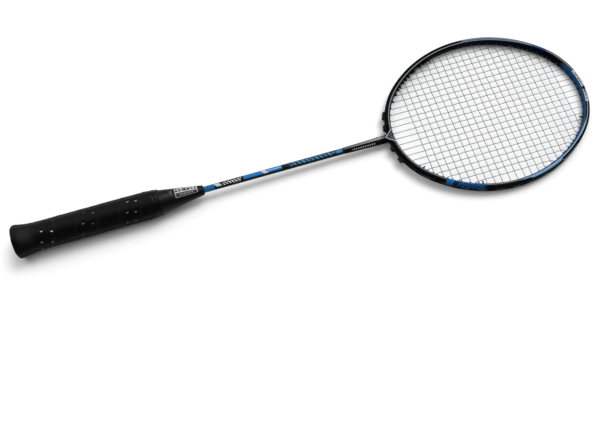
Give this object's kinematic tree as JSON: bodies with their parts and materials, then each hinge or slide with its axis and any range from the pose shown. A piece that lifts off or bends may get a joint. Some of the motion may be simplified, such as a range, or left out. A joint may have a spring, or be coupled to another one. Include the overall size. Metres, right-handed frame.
{
  "type": "badminton racket",
  "caption": "Strung badminton racket with an oval head, a slim shaft and a wrapped handle, for hitting a shuttlecock.",
  "frame": {"origin": "centre of the butt's flat end face", "axes": "+X along the shaft from the butt to the tip of the head, +Z square to the string bed, +Y across the head to the left seen from the handle"},
  "size_m": [0.675, 0.1994, 0.037],
  "materials": {
    "rim_lacquer": "gloss lacquer over carbon, black and blue with a silver line",
    "shaft_lacquer": "gloss lacquer over carbon, black and blue bands",
    "joint_lacquer": "gloss graphite with a silver line",
    "composite": "moulded glass-filled nylon",
    "timber": "plain sanded",
    "cap_plastic": "moulded, fine grain",
    "plate_plastic": "moulded disc, satin",
    "nail_steel": "bright drawn",
    "cone_plastic": "moulded, satin",
    "label_foil": "silver foil, blank",
    "grip_foam": "cushioned polyurethane",
    "overgrip_tape": "tacky polyurethane tape, fine grain with punched holes",
    "tape_film": "adhesive film",
    "main_nylon": "multifilament nylon, slightly glossy",
    "cross_nylon": "multifilament nylon, slightly glossy",
    "grommet_nylon": "moulded nylon",
    "pad_rubber": "moulded, matte"
  },
  "bodies": {
    "root": {"head_frame": "rim_lacquer", "throat_joint": "joint_lacquer", "throat_core": "composite", "shaft": "shaft_lacquer", "handle_core": "timber", "butt_cap": "cap_plastic", "butt_plate": "plate_plastic", "butt_cap_nails": "nail_steel", "cone": "cone_plastic", "cone_label": "label_foil", "base_grip": "grip_foam", "overgrip": "overgrip_tape", "finishing_tape": "tape_film", "main_string": "main_nylon", "cross_string": "cross_nylon", "main_string_knots": "main_nylon", "cross_string_knots": "cross_nylon", "tip_grommet_strip": "grommet_nylon", "tip_left_grommet_strip": "grommet_nylon", "tip_right_grommet_strip": "grommet_nylon", "throat_left_grommet_strip": "grommet_nylon", "throat_right_grommet_strip": "grommet_nylon", "throat_grommet_strip": "grommet_nylon", "left_side_grommets": "grommet_nylon", "right_side_grommets": "grommet_nylon", "throat_pads_left": "pad_rubber", "throat_pads_right": "pad_rubber"}
  },
  "joints": []
}
